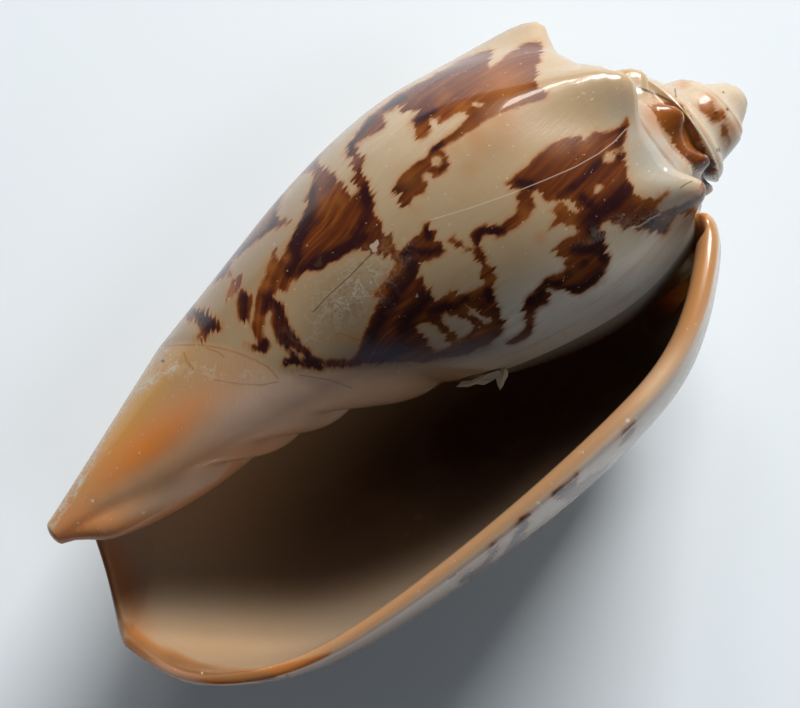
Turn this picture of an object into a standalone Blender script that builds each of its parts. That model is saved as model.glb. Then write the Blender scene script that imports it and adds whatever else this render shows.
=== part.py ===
"""A volute shell at rest on its back, with its aperture up.

The shell is one grown piece, so it is one closed solid. It is worked out round
its own axis first: a growth angle in degrees (0 near the outer lip, falling
towards the apex) and a place s along the whorl's outline (0 at the suture, 1 at
the ridge beside the canal, 2 at the ring round the tip). The axis runs from the
apex at depth 0 to the tip at depth LENGTH. The whole is then laid down so that
it rests on the back of its last whorl.
"""
import bmesh
import bpy
import numpy as np
from mathutils import Matrix

MM = 0.001

# Driving dimensions, in millimetres and degrees
LENGTH = 90.0
WHORL_GROWTH = 1.781
SPIRE_DEPTH = 4.32
APEX_LIFT, APEX_START, APEX_SPAN = 4.43, 900.0, 720.0
APEX_RADIUS, APEX_DEPTH, APEX_SHIFT = 1.5, 0.6, 1.0
APEX_SWELL, SWELL_START = 0.58, 690.0
TURNS = 5
TIP_RADIUS, TIP_DEPTH = 1.44, 89.3
LIP_TAPER = 0.04
LIP_THICKNESS, LIP_END_THICKNESS, WALL_THICKNESS = 2.56, 1.35, 1.8
CAVITY_TURN = 330.0
NOTCH_TURN, NOTCH_BULGE, NOTCH_LEAN, NOTCH_START = 159.0, 2.81, 0.5, 0.04

# Share of the notch's bulge that the inside of the wall follows
INNER_NOTCH_SHARE = 0.85

# Outline of a whorl as (radius, depth) at growth angle 0: while it grew, and at the lip
KNOTS = (0.0, 0.10, 0.22, 0.34, 0.50, 0.68, 0.85, 1.0)
GROWING = ((13.56, 18.23), (17.09, 16.66), (21.84, 18.93), (24.53, 24.82), (26.74, 39.68),
           (23.66, 57.07), (20.33, 67.44), (14.42, 85.22))
AT_LIP = ((11.84, 12.46), (15.49, 10.59), (22.59, 18.09), (25.83, 27.35), (27.63, 41.75),
          (27.51, 64.07), (22.66, 76.07), (14.8, 86.23))
LIP_ANGLES = (43.7, 39.1, 35.2, 34.6, 31.6, 29.0, 25.8, -5.1)
FLARE_START, FLARE_SPAN = 36.0, 50.0

# Where the suture lies on the turn before it, along s
SUTURE_PLACE, LIP_SUTURE_PLACE = 0.343, 0.163
SEAM_REACH = 0.16

# Knobs round the shoulder, by growth angle, and their size at growth angle 0
KNOBS = (-20, -72, -126, -186.3, -245.4, -296.6, -363.9, -400, -447, -493,
         -582, -622, -664, -708, -752, -798)
KNOB_HEIGHT, KNOB_HALF_WIDTH, KNOB_RISE, KNOB_SLANT = 2.47, 10.7, 1.44, 70.0

# Folds of the columella at growth angle -360: the grooves between them along the axis, how deep
# each groove lies, and how far the fold after it swells
GROOVES = (35.3, 41.6, 51.6, 57.8, 62.6, 90.0)
GROOVE_DEPTHS = (0.0, 1.13, 1.77, 1.74, 1.04, 0.0)
FOLD_SWELLS = (0.0, 1.26, 1.13, 1.06, 2.29)
FOLD_START = 3.6

# Mesh divisions
ROWS = (0.0, 0.02, 0.045, 0.08, 0.13, 0.19, 0.26, 0.34, 0.44, 0.54, 0.63, 0.71, 0.77, 0.81, 0.85,
        0.885, 0.92, 0.96, 1.0, 1.05, 1.10, 1.15, 1.21, 1.27, 1.33, 1.40, 1.48, 1.60, 1.75, 1.88, 2.0)
TURN_STEPS, SPIRE_ROWS, RIM_STEPS, END_STEPS, TIP_STEPS, CAP_STEPS = 40, 6, 4, 3, 3, 3

# Rest: the direction about the shell's axis that points up, and the depth of the worn flat below
REST_UP = (-0.17, -0.984, -0.06)
WORN_FLAT = 0.5


def ease(x):
    """A smooth step from 0 to 1 as x goes from 0 to 1."""
    x = np.clip(x, 0.0, 1.0)
    return x * x * (3.0 - 2.0 * x)


def spline(knots, values, at):
    """The natural cubic spline through values at knots, read at the places in at."""
    knots, values, at = np.array(knots, float), np.array(values, float), np.asarray(at, float)
    count, gaps = len(knots), np.diff(knots)
    system, slopes = np.eye(count), np.zeros(values.shape)
    for i in range(1, count - 1):
        system[i, i - 1:i + 2] = gaps[i - 1], 2 * (gaps[i - 1] + gaps[i]), gaps[i]
        slopes[i] = 6 * ((values[i + 1] - values[i]) / gaps[i] - (values[i] - values[i - 1]) / gaps[i - 1])
    bend = np.linalg.solve(system, slopes)
    i = np.clip(np.searchsorted(knots, at) - 1, 0, count - 2)
    gap = gaps[i]
    left, right = (knots[i + 1] - at) / gap, (at - knots[i]) / gap
    if values.ndim == 2:
        gap, left, right = gap[..., None], left[..., None], right[..., None]
    curve = left * values[i] + right * values[i + 1]
    return curve + gap ** 2 / 6 * ((left ** 3 - left) * bend[i] + (right ** 3 - right) * bend[i + 1])


def growth(angle):
    """Size of the shell at a growth angle over its size at growth angle 0."""
    return WHORL_GROWTH ** (angle / 360.0)


def outline(angle, s):
    """Radius and depth of the smooth whorl, without its knobs, for s from 0 to 1."""
    growing, at_lip = spline(KNOTS, GROWING, s), spline(KNOTS, AT_LIP, s)
    side = ease((s - 0.28) / 0.2)
    age = (1 - side) * ease((FLARE_START - angle) / FLARE_SPAN) + side * ease(-angle / 200.0)
    shape = (at_lip + (growing - at_lip) * age[..., None]) * growth(angle)[..., None]
    start = SPIRE_DEPTH - APEX_LIFT * ease((-angle - APEX_START) / APEX_SPAN)
    swell = 1 + APEX_SWELL * ease((-angle - SWELL_START) / 400.0)
    return shape[..., 0] * swell, shape[..., 1] + start


def suture_place(age):
    """Where the suture of the growth line of this age lies on the turn before it."""
    first = ease((age + 360.0 * (TURNS - 1)) / 360.0)
    return (SUTURE_PLACE + (LIP_SUTURE_PLACE - SUTURE_PLACE) * ease(1 + age / 120.0)) * first


def knob_lift(angle, s):
    """How far the knobs raise the shoulder."""
    along = angle - KNOB_SLANT * np.clip(s - 0.22, 0.0, 0.3)
    peaks = np.exp(-((along[..., None] - np.array(KNOBS)) / KNOB_HALF_WIDTH) ** 2).sum(-1)
    fade = np.where(s < 0.22, ease((s - 0.12) / 0.10), np.exp(-((s - 0.22) / 0.16) ** 2))
    return KNOB_HEIGHT * growth(angle) * peaks * fade


def fold_lift(angle, s, depth):
    """How far the folds of the columella stand out: a parabola from each groove to the next."""
    along = np.clip((depth - FOLD_START) / growth(angle + 360.0), GROOVES[0], GROOVES[-1] - 1e-6)
    i = np.searchsorted(GROOVES, along, side="right") - 1
    start, end = np.array(GROOVES)[i], np.array(GROOVES)[i + 1]
    share = (along - start) / (end - start)
    lift = 4 * np.array(FOLD_SWELLS)[i] * share * (1 - share) - np.interp(along, GROOVES, GROOVE_DEPTHS)
    reach = ease((-285.0 - angle) / 50.0) * ease((angle + 640.0) / 100.0)
    return lift * growth(angle + 360.0) * reach * ease((s - 0.80) / 0.12) * ease((2.0 - s) / 0.15)


def seam_start(angle):
    """Radius and depth of the suture at a growth angle: on the turn before, or on the apex."""
    before = suture_place(angle - LIP_ANGLES[0])
    radius, depth = outline(angle - 360.0, before)
    first_radius, first_depth = outline(angle - 360.0, np.zeros_like(before))
    fade = 1 - ease(before / SEAM_REACH)
    lift = knob_lift(angle - 360.0, before)
    radius = radius + (APEX_RADIUS - first_radius) * fade + lift
    depth = depth + (APEX_DEPTH - first_depth) * fade - KNOB_RISE * lift
    apex = angle - LIP_ANGLES[0] < -360.0 * (TURNS - 1)
    return np.where(apex, APEX_RADIUS, radius), np.where(apex, APEX_DEPTH, depth)


def notch_dip(angle, canal):
    """How far the front end bulges forward along the notch, most of all near its start."""
    low = NOTCH_START ** NOTCH_LEAN
    share = ((canal + NOTCH_START) ** NOTCH_LEAN - low) / ((1 + NOTCH_START) ** NOTCH_LEAN - low)
    return NOTCH_BULGE * np.sin(np.pi * share) * ease((angle + 170.0) / 110.0)


def whorl(angle, s):
    """Radius and depth of the shell's outside, for s from 0 to 2."""
    body = np.minimum(s, 1.0)
    radius, depth = outline(angle, body)
    seam_radius, seam_depth = seam_start(angle)
    top_radius, top_depth = outline(angle, np.zeros_like(body))
    seam = 1 - ease(body / SEAM_REACH)
    lift = knob_lift(angle, s)
    radius = radius + (seam_radius - top_radius) * seam + lift
    depth = depth + (seam_depth - top_depth) * seam - KNOB_RISE * lift
    canal = np.clip(s - 1.0, 0.0, 1.0)
    radius = radius + (TIP_RADIUS - radius) * canal
    depth = depth + (TIP_DEPTH - depth) * canal + notch_dip(angle, canal)
    return radius + fold_lift(angle, s, depth), depth


def about_axis(angle, radius, depth):
    """Points at a growth angle, radius and depth, in millimetres about the shell's axis."""
    turn = np.radians(-angle)
    shift = APEX_SHIFT * ease((12.0 - depth) / 7.0)
    return np.stack([radius * np.cos(turn) + shift, radius * np.sin(turn), -depth], -1)


def margin_angle(row):
    """Growth angle of the outer lip's edge, which falls back along the notch past row 1."""
    knots = np.linspace(0.0, 1.0, len(LIP_ANGLES))
    return spline(knots, LIP_ANGLES, np.minimum(row, 1.0)) - NOTCH_TURN * np.clip(row - 1.0, 0.0, 1.0)


def strip_edge(age):
    """Where the spire's strip meets the body whorl or the next turn, along s."""
    near_lip = SUTURE_PLACE * np.sin(np.pi / 2 * np.clip(-age / 80.0, 0.0, 1.0))
    dip = (SUTURE_PLACE - LIP_SUTURE_PLACE) * ease(1 - (age + 360.0) / 40.0)
    return np.where(age > -360.0, near_lip - dip, suture_place(np.minimum(age + 360.0, 0.0)))


def tip_corner(angle):
    """Depth where the canal's outer wall meets the pillar."""
    behind = np.clip(margin_angle(2.0) - angle, 0.0, None)
    return TIP_DEPTH - 9.5 * (1 - np.exp(-behind / 110.0))


def pillar_place(angle, depth):
    """s on the pillar at a growth angle where it has this depth."""
    ridge = whorl(angle, np.ones_like(angle))[1]
    return 1.0 + (depth - ridge) / (TIP_DEPTH - ridge)


def outside(age, row):
    """The outside of the last whorl and of the pillar, below the spire's strip."""
    low = strip_edge(age)
    s = np.where(row < 1.0, low + (1.0 - low) * row, row)
    angle = margin_angle(row) + age
    return about_axis(angle, *whorl(angle, s))


def inner_place(age, row):
    """s on the turn before, along which the cavity's inner wall runs."""
    angle = margin_angle(row) + age
    low = suture_place(age) + 0.07 * ease(-age / 15.0)
    high = pillar_place(angle - 360.0, tip_corner(angle))
    return np.where(row < 1.0, low + (1.0 - low) * row, 1.0 + (row - 1.0) * (high - 1.0))


def inner_wall(age, row):
    """The cavity's wall on the turn before: parietal wall, folds and pillar."""
    angle = margin_angle(row) + age
    return about_axis(angle, *whorl(angle - 360.0, inner_place(age, row)))


def wall_thickness(age, row):
    """Thickness of the outer wall: a thick lip that thins to its front end and to the suture."""
    lip = LIP_THICKNESS + (LIP_END_THICKNESS - LIP_THICKNESS) * ease((row - 0.25) / 0.6)
    thickness = WALL_THICKNESS + (lip - WALL_THICKNESS) * ease(1 + age / 40.0)
    return thickness * (1 - (1 - ease(-age / 15.0)) * (1 - ease(row / LIP_TAPER)))


def outer_wall(age, row):
    """The inside of the outer wall, which meets the inner wall at both ends of the outline."""
    angle, s = margin_angle(row) + age, np.minimum(row, 1.0)
    before, after = outline(angle, np.clip(s - 0.002, 0.0, 1.0)), outline(angle, np.clip(s + 0.002, 0.0, 1.0))
    out, down = after[0] - before[0], after[1] - before[1]
    thickness = wall_thickness(age, row) / np.hypot(out, down)
    radius, depth = whorl(angle, s)
    lift = knob_lift(angle, s)
    radius, depth = radius - lift - thickness * down, depth + KNOB_RISE * lift + thickness * out
    inner_radius, inner_depth = whorl(angle - 360.0, inner_place(age, row))
    start = 1 - ease(row / 0.12)
    radius = radius + (inner_radius - radius)[:, :1] * start
    depth = depth + (inner_depth - depth)[:, :1] * start
    canal = np.clip(row - 1.0, 0.0, 1.0)
    end_radius, end_depth = whorl(angle - 360.0, pillar_place(angle - 360.0, tip_corner(angle)))
    radius = radius + (end_radius - radius) * canal
    depth = depth + (end_depth - depth) * canal + INNER_NOTCH_SHARE * notch_dip(angle, canal)
    thick = 0.35 * ease((-220.0 - angle) / 80.0) * ease((row - 0.85) / 0.2)
    return about_axis(angle, radius + (inner_radius - radius) * thick, depth + (inner_depth - depth) * thick)


def lip_edge(rows):
    """The rounded edge of the outer lip, from its outside to its inside."""
    age, row = np.zeros((1, len(rows))), rows[None]
    out, inn = outside(age, row)[0], outer_wall(age, row)[0]
    angle = margin_angle(rows)
    low = np.minimum(rows, 2.0)
    ahead = about_axis(angle + 0.5, *whorl(angle + 0.5, low)) - about_axis(angle - 0.5, *whorl(angle - 0.5, low))
    ahead /= np.linalg.norm(ahead, axis=1)[:, None]
    along = np.gradient(out, axis=0)
    along /= np.linalg.norm(along, axis=1)[:, None]
    ahead -= (ahead * along).sum(1)[:, None] * along
    ahead /= np.linalg.norm(ahead, axis=1)[:, None]
    half, reach = (out - inn) / 2, np.linalg.norm(out - inn, axis=1)[:, None] / 2
    turn = np.pi * np.arange(1, RIM_STEPS) / RIM_STEPS
    turn = turn[:, None, None]
    return inn + half + np.cos(turn) * half + np.sin(turn) * reach * ahead


def cavity_end(rows, deepest):
    """The blind end of the cavity, from the inner wall across to the outer wall."""
    age, row = np.full((1, len(rows)), deepest), rows[None]
    inner, outer = inner_wall(age, row)[0], outer_wall(age, row)[0]
    share = (np.arange(1, END_STEPS) / END_STEPS)[:, None]
    angle = margin_angle(row) + deepest - 12.0 * np.sin(np.pi * share) * np.sin(np.pi * row / 2)
    radius = [np.hypot(wall[:, 0], wall[:, 1])[None] for wall in (inner, outer)]
    depth = [-wall[:, 2][None] for wall in (inner, outer)]
    return about_axis(angle, radius[0] + (radius[1] - radius[0]) * share,
                      depth[0] + (depth[1] - depth[0]) * share)


def turn_ages():
    """Ages of the columns of one turn, closer together where the turn meets the lip."""
    steps = np.linspace(0.0, 1.0, TURN_STEPS + 1)
    return -360.0 * np.insert(steps, [1, TURN_STEPS], [steps[1] / 2, 1 - steps[1] / 2])


def grid_of(columns, rows):
    """Two grids that hold the value of each column and of each row."""
    return np.meshgrid(columns, rows, indexing="ij")


def shell_points():
    """Every patch of the surface as a grid of points, columns of age by rows of s."""
    ages, rows = turn_ages(), np.array(ROWS)
    deep = ages[ages > -CAVITY_TURN - 1.0]
    last_turn = outside(*grid_of(ages, rows))
    inner = inner_wall(*grid_of(deep[1:], rows))
    outer = outer_wall(*grid_of(deep, rows))[::-1]
    loop = [last_turn, inner, cavity_end(rows, deep[-1]), outer, lip_edge(rows)[::-1], last_turn[:1]]

    turns = [ages[1:] - 360.0 * turn for turn in range(TURNS)]
    age, up = grid_of(np.concatenate([[0.0]] + turns), np.linspace(0.0, 1.0, SPIRE_ROWS + 1))
    angle = LIP_ANGLES[0] + age
    spire = about_axis(angle, *whorl(angle, strip_edge(age) * (1 - up)))

    angle, share = grid_of(margin_angle(2.0) + ages, np.linspace(0.0, np.pi / 2, TIP_STEPS + 1))
    tip = about_axis(angle, TIP_RADIUS * np.cos(share), TIP_DEPTH + (LENGTH - TIP_DEPTH) * np.sin(share))
    angle, share = grid_of(LIP_ANGLES[0] + ages, np.linspace(0.0, np.pi / 2, CAP_STEPS + 1))
    cap = about_axis(angle, APEX_RADIUS * np.cos(share), APEX_DEPTH * (1 - np.sin(share)))
    return [np.concatenate(loop), spire, tip, cap]


def grid_mesh(name, grids):
    """One closed mesh from grids of points in millimetres, welded where they meet."""
    shape = bmesh.new()
    for grid in grids:
        points = [[shape.verts.new(point * MM) for point in column] for column in grid]
        for near, far in zip(points, points[1:]):
            for i in range(len(near) - 1):
                shape.faces.new((near[i], near[i + 1], far[i + 1], far[i]))
    bmesh.ops.remove_doubles(shape, verts=shape.verts, dist=0.002 * MM)
    bmesh.ops.recalc_face_normals(shape, faces=shape.faces)
    mesh = bpy.data.meshes.new(name)
    shape.to_mesh(mesh)
    shape.free()
    return mesh


def lay_down(mesh):
    """Turn the mesh into its rest, flatten what it stands on and centre it over the origin."""
    up = np.array(REST_UP) / np.linalg.norm(REST_UP)
    apex = np.array((0.0, 0.0, 1.0)) - up[2] * up
    apex /= np.linalg.norm(apex)
    mesh.transform(Matrix((apex, np.cross(up, apex), up)).to_4x4())
    points = np.array([vertex.co for vertex in mesh.vertices])
    floor = points[:, 2].min() + WORN_FLAT * MM
    middle = (points.min(0) + points.max(0)) / 2
    points[:, 2] = np.maximum(points[:, 2], floor) - floor
    points[:, :2] -= middle[:2]
    mesh.vertices.foreach_set("co", points.ravel())
    mesh.update()


def shell_material():
    """Glossy porcelain-like shell, cream with brown markings seen as one colour."""
    material = bpy.data.materials.new("shell")
    material.use_nodes = True
    surface = material.node_tree.nodes["Principled BSDF"]
    surface.inputs["Base Color"].default_value = (0.50, 0.38, 0.25, 1.0)
    surface.inputs["Roughness"].default_value = 0.28
    surface.inputs["Metallic"].default_value = 0.0
    return material


def make_shell():
    """The whole shell as one object."""
    mesh = grid_mesh("shell", shell_points())
    lay_down(mesh)
    mesh.shade_smooth()
    mesh.materials.append(shell_material())
    shell = bpy.data.objects.new("shell", mesh)
    bpy.context.scene.collection.objects.link(shell)


for old in list(bpy.data.objects):
    bpy.data.objects.remove(old, do_unlink=True)
make_shell()
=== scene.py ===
import bmesh
import bpy
import numpy as np
from mathutils import Matrix, Vector


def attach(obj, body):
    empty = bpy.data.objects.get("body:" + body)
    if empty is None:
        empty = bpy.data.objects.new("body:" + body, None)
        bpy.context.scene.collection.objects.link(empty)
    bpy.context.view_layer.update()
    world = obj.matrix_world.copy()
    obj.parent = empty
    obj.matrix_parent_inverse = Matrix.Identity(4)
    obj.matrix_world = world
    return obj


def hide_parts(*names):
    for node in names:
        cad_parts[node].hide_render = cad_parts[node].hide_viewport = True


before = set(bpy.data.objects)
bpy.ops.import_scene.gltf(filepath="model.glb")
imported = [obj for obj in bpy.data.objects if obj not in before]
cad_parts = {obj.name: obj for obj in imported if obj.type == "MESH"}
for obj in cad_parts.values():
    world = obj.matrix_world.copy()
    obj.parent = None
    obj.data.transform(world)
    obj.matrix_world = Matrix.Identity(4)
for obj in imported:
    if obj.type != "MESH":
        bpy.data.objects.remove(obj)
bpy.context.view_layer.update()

# Whorls
# A snail adds to the edge of its shell while it turns about one axis, so each whorl is an
# enlarged copy of the one before. This is aragonite, laid down in thin layers behind the edge.
# Lengths are in millimetres about the axis: apex at depth 0, front tip at depth 90.
whorl_growth = 1.781
turns = 5
outline_places = (0.0, 0.10, 0.22, 0.34, 0.50, 0.68, 0.85, 1.0)
outline_while_growing = ((13.56, 18.23), (17.09, 16.66), (21.84, 18.93), (24.53, 24.82), (26.74, 39.68),
                         (23.66, 57.07), (20.33, 67.44), (14.42, 85.22))
outline_at_lip = ((11.84, 12.46), (15.49, 10.59), (22.59, 18.09), (25.83, 27.35), (27.63, 41.75),
                  (27.51, 64.07), (22.66, 76.07), (14.8, 86.23))
suture_on_whorl, suture_at_lip = 0.343, 0.163
knobs = (-20, -72, -126, -186.3, -245.4, -296.6, -363.9, -400, -447, -493,
         -582, -622, -664, -708, -752, -798)
spire_start, spire_rise, spire_swell, spire_turn = 4.32, 4.43, 0.58, 690.0
knob_height, knob_width, knob_lean = 2.47, 10.7, 1.44


def ease(x):
    """A smooth step, 3x^2 - 2x^3 between 0 and 1 and level outside."""
    x = np.clip(x, 0.0, 1.0)
    return x * x * (3.0 - 2.0 * x)


def spline(knots, values, at):
    """The cubic through the values that has no bend at its two ends, read at each place in at."""
    knots, values, at = np.array(knots, float), np.array(values, float), np.asarray(at, float)
    count, gaps = len(knots), np.diff(knots)
    rise = np.diff(values, axis=0) / gaps.reshape((-1,) + (1,) * (values.ndim - 1))
    system = np.diag(np.r_[1.0, 2 * (gaps[:-1] + gaps[1:]), 1.0])
    inside = np.arange(1, count - 1)
    system[inside, inside - 1], system[inside, inside + 1] = gaps[:-1], gaps[1:]
    load = np.zeros(values.shape)
    load[1:-1] = 6 * np.diff(rise, axis=0)
    bend = np.linalg.solve(system, load)
    i = np.clip(np.searchsorted(knots, at) - 1, 0, count - 2)
    gap = gaps[i]
    left, right = (knots[i + 1] - at) / gap, (at - knots[i]) / gap
    if values.ndim == 2:
        gap, left, right = gap[..., None], left[..., None], right[..., None]
    curve = left * values[i] + right * values[i + 1]
    return curve + gap ** 2 / 6 * ((left ** 3 - left) * bend[i] + (right ** 3 - right) * bend[i + 1])


def growth(angle):
    """Size at a growth angle over the size at angle 0: the growth to the power of the turns."""
    return whorl_growth ** (angle / 360.0)


def outline(angle, s):
    """Radius and depth of the whorl without knobs: the spline of the growing outline, eased into
    the lip's outline within 50 degrees of the edge above the shoulder and 200 below it, times the
    growth. The first turns start less deep, and are swollen."""
    growing = spline(outline_places, outline_while_growing, s)
    at_lip = spline(outline_places, outline_at_lip, s)
    side = ease((s - 0.28) / 0.2)
    age = (1 - side) * ease((36.0 - angle) / 50.0) + side * ease(-angle / 200.0)
    shape = (at_lip + (growing - at_lip) * age[..., None]) * growth(angle)[..., None]
    start = spire_start - spire_rise * ease((-angle - 900.0) / 720.0)
    swell = 1 + spire_swell * ease((-angle - spire_turn) / 400.0)
    return shape[..., 0] * swell, shape[..., 1] + start


def suture_place(age):
    """s where a growth line's whorl joins the one before: 0 on the apex, then constant, then
    higher on the shoulder over the last 120 degrees."""
    first = ease((age + 360.0 * (turns - 1)) / 360.0)
    return (suture_on_whorl + (suture_at_lip - suture_on_whorl) * ease(1 + age / 120.0)) * first


def knob_lift(angle, s):
    """Height of the knobs: a bell curve in angle for each, leaning back below the shoulder, times
    a ridge that rises over s 0.12 to 0.22 and dies away below."""
    along = angle - 70.0 * np.clip(s - 0.22, 0.0, 0.3)
    peaks = np.exp(-((along[..., None] - np.array(knobs)) / knob_width) ** 2).sum(-1)
    fade = np.where(s < 0.22, ease((s - 0.12) / 0.10), np.exp(-((s - 0.22) / 0.16) ** 2))
    return knob_height * growth(angle) * peaks * fade


def about_axis(angle, radius, depth):
    """Points at a growth angle, radius and depth. The angle runs backwards, because the shell
    coils to the right, and the first turns stand 1 mm off the axis."""
    turn = np.radians(-angle)
    return np.stack([radius * np.cos(turn) + ease((12.0 - depth) / 7.0), radius * np.sin(turn), -depth], -1)


# Pillar
# The pillar is the whorls' own inner side, wound up round the axis and covered with a glossy
# callus. It carries four folds that the snail's muscle held on to, and ends in a blunt tip.
grooves = (35.3, 41.6, 51.6, 57.8, 62.6, 90.0)
groove_sinks = (0.0, 1.13, 1.77, 1.74, 1.04, 0.0)
fold_swells = (0.0, 1.26, 1.13, 1.06, 2.29)
tip_radius, tip_depth, shell_length = 1.44, 89.3, 90.0
notch_bulge, notch_lean, notch_start = 2.81, 0.5, 0.04
apex_radius, apex_depth, seam_width = 1.5, 0.6, 0.16


def fold_lift(angle, s, depth):
    """How far the folds stand out: a parabola from groove to sunken groove, so that they meet in
    sharp creases. It grows with the whorl and is only there on the last turn's pillar."""
    along = np.clip((depth - 3.6) / growth(angle + 360.0), grooves[0], grooves[-1] - 1e-6)
    i = np.searchsorted(grooves, along, side="right") - 1
    start, end = np.array(grooves)[i], np.array(grooves)[i + 1]
    share = (along - start) / (end - start)
    lift = 4 * np.array(fold_swells)[i] * share * (1 - share) - np.interp(along, grooves, groove_sinks)
    reach = ease((-285.0 - angle) / 50.0) * ease((angle + 640.0) / 100.0)
    return lift * growth(angle + 360.0) * reach * ease((s - 0.80) / 0.12) * ease((2.0 - s) / 0.15)


def seam_start(angle):
    """Radius and depth of the suture: the place on the turn before, knobs included, or the apex."""
    before = suture_place(angle - lip_angles[0])
    radius, depth = outline(angle - 360.0, before)
    first_radius, first_depth = outline(angle - 360.0, np.zeros_like(before))
    fade = 1 - ease(before / seam_width)
    lift = knob_lift(angle - 360.0, before)
    radius = radius + (apex_radius - first_radius) * fade + lift
    depth = depth + (apex_depth - first_depth) * fade - knob_lean * lift
    apex = angle - lip_angles[0] < -360.0 * (turns - 1)
    return np.where(apex, apex_radius, radius), np.where(apex, apex_depth, depth)


def notch_dip(angle, canal):
    """How far the shell's front end bulges forward along the notch, for canal from 0 to 1: a sine
    arch whose top is drawn towards its start by a power below 1. It fades out behind the lip."""
    low, high = notch_start ** notch_lean, (1.0 + notch_start) ** notch_lean
    leaning = ((canal + notch_start) ** notch_lean - low) / (high - low)
    return notch_bulge * np.sin(np.pi * leaning) * ease((angle + 170.0) / 110.0)


def whorl(angle, s):
    """Radius and depth of the outside. For s to 1 the outline, drawn to the suture at its start
    and raised by the knobs; from 1 to 2 a cone to the tip, with the notch's bulge and the folds."""
    body = np.minimum(s, 1.0)
    radius, depth = outline(angle, body)
    seam_radius, seam_depth = seam_start(angle)
    top_radius, top_depth = outline(angle, np.zeros_like(body))
    seam = 1 - ease(body / seam_width)
    lift = knob_lift(angle, s)
    radius = radius + (seam_radius - top_radius) * seam + lift
    depth = depth + (seam_depth - top_depth) * seam - knob_lean * lift
    canal = np.clip(s - 1.0, 0.0, 1.0)
    radius = radius + (tip_radius - radius) * canal
    depth = depth + (tip_depth - depth) * canal + notch_dip(angle, canal)
    return radius + fold_lift(angle, s, depth), depth


# Outer lip and hollow
# The edge where growth stopped, thickened and rounded, with a notch at its front end for the
# snail's siphon. Behind it the outer wall is thinner, and the hollow winds up out of view.
lip_angles = (43.7, 39.1, 35.2, 34.6, 31.6, 29.0, 25.8, -5.1)
hollow_turn, notch_turn = 330.0, 159.0
lip_thickness, front_thickness, behind_lip = 2.56, 1.35, 1.8


def margin_angle(row):
    """Growth angle of the lip's edge: a spline over the outline, then back along the notch."""
    places = np.linspace(0.0, 1.0, len(lip_angles))
    return spline(places, lip_angles, np.minimum(row, 1.0)) - notch_turn * np.clip(row - 1.0, 0.0, 1.0)


def strip_edge(age):
    """s where the last whorl meets the spire: a quarter sine from the lip over 80 degrees, then
    constant, then the suture of the turn after."""
    near_lip = suture_on_whorl * np.sin(np.pi / 2 * np.clip(-age / 80.0, 0.0, 1.0))
    dip = (suture_on_whorl - suture_at_lip) * ease(1 - (age + 360.0) / 40.0)
    return np.where(age > -360.0, near_lip - dip, suture_place(np.minimum(age + 360.0, 0.0)))


def tip_corner(angle):
    """Depth where the outer wall meets the pillar: it drops back 9.5 mm behind the notch."""
    behind = np.clip(margin_angle(2.0) - angle, 0.0, None)
    return tip_depth - 9.5 * (1 - np.exp(-behind / 110.0))


def pillar_place(angle, depth):
    """s between 1 and 2 on the pillar where it has this depth."""
    ridge = whorl(angle, np.ones_like(angle))[1]
    return 1.0 + (depth - ridge) / (tip_depth - ridge)


def outer_place(age, row):
    """s on the last whorl for a row: from the strip's edge to 1, then the row itself."""
    low = strip_edge(age)
    return np.where(row < 1.0, low + (1.0 - low) * row, row)


def outside(age, row):
    """The outside of the last whorl and of the pillar, below the spire."""
    angle = margin_angle(row) + age
    return about_axis(angle, *whorl(angle, outer_place(age, row)))


def inner_place(age, row):
    """s on the turn before along which the hollow's inner wall runs, from a little below the
    suture to the tip corner."""
    angle = margin_angle(row) + age
    low = suture_place(age) + 0.07 * ease(-age / 15.0)
    high = pillar_place(angle - 360.0, tip_corner(angle))
    return np.where(row < 1.0, low + (1.0 - low) * row, 1.0 + (row - 1.0) * (high - 1.0))


def inner_wall(age, row):
    """The hollow's wall on the turn before: the turn's own outside, one turn back."""
    angle = margin_angle(row) + age
    return about_axis(angle, *whorl(angle - 360.0, inner_place(age, row)))


def wall_thickness(age, row):
    """The wall behind the lip, eased over 40 degrees to the lip's own thickness, which is less at
    its front end, and to nothing at the suture."""
    lip = lip_thickness + (front_thickness - lip_thickness) * ease((row - 0.25) / 0.6)
    thickness = behind_lip + (lip - behind_lip) * ease(1 + age / 40.0)
    return thickness * (1 - (1 - ease(-age / 15.0)) * (1 - ease(row / 0.04)))


def outer_wall(age, row):
    """The inside of the outer wall: the outline moved in by the thickness along its normal, eased
    into the inner wall at the suture and at the tip corner. Far in, it is thicker by a third of
    the hollow's width near the tip corner."""
    angle, s = margin_angle(row) + age, np.minimum(row, 1.0)
    before, after = [outline(angle, np.clip(s + step, 0.0, 1.0)) for step in (-0.002, 0.002)]
    out, down = after[0] - before[0], after[1] - before[1]
    thickness = wall_thickness(age, row) / np.hypot(out, down)
    radius, depth = whorl(angle, s)
    lift = knob_lift(angle, s)
    radius, depth = radius - lift - thickness * down, depth + knob_lean * lift + thickness * out
    inner_radius, inner_depth = whorl(angle - 360.0, inner_place(age, row))
    start = 1 - ease(row / 0.12)
    radius = radius + (inner_radius - radius)[:, :1] * start
    depth = depth + (inner_depth - depth)[:, :1] * start
    canal = np.clip(row - 1.0, 0.0, 1.0)
    end_radius, end_depth = whorl(angle - 360.0, pillar_place(angle - 360.0, tip_corner(angle)))
    radius = radius + (end_radius - radius) * canal
    depth = depth + (end_depth - depth) * canal + 0.85 * notch_dip(angle, canal)
    thick = 0.35 * ease((-220.0 - angle) / 80.0) * ease((row - 0.85) / 0.2)
    radius, depth = radius + (inner_radius - radius) * thick, depth + (inner_depth - depth) * thick
    return about_axis(angle, radius, depth)


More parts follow.
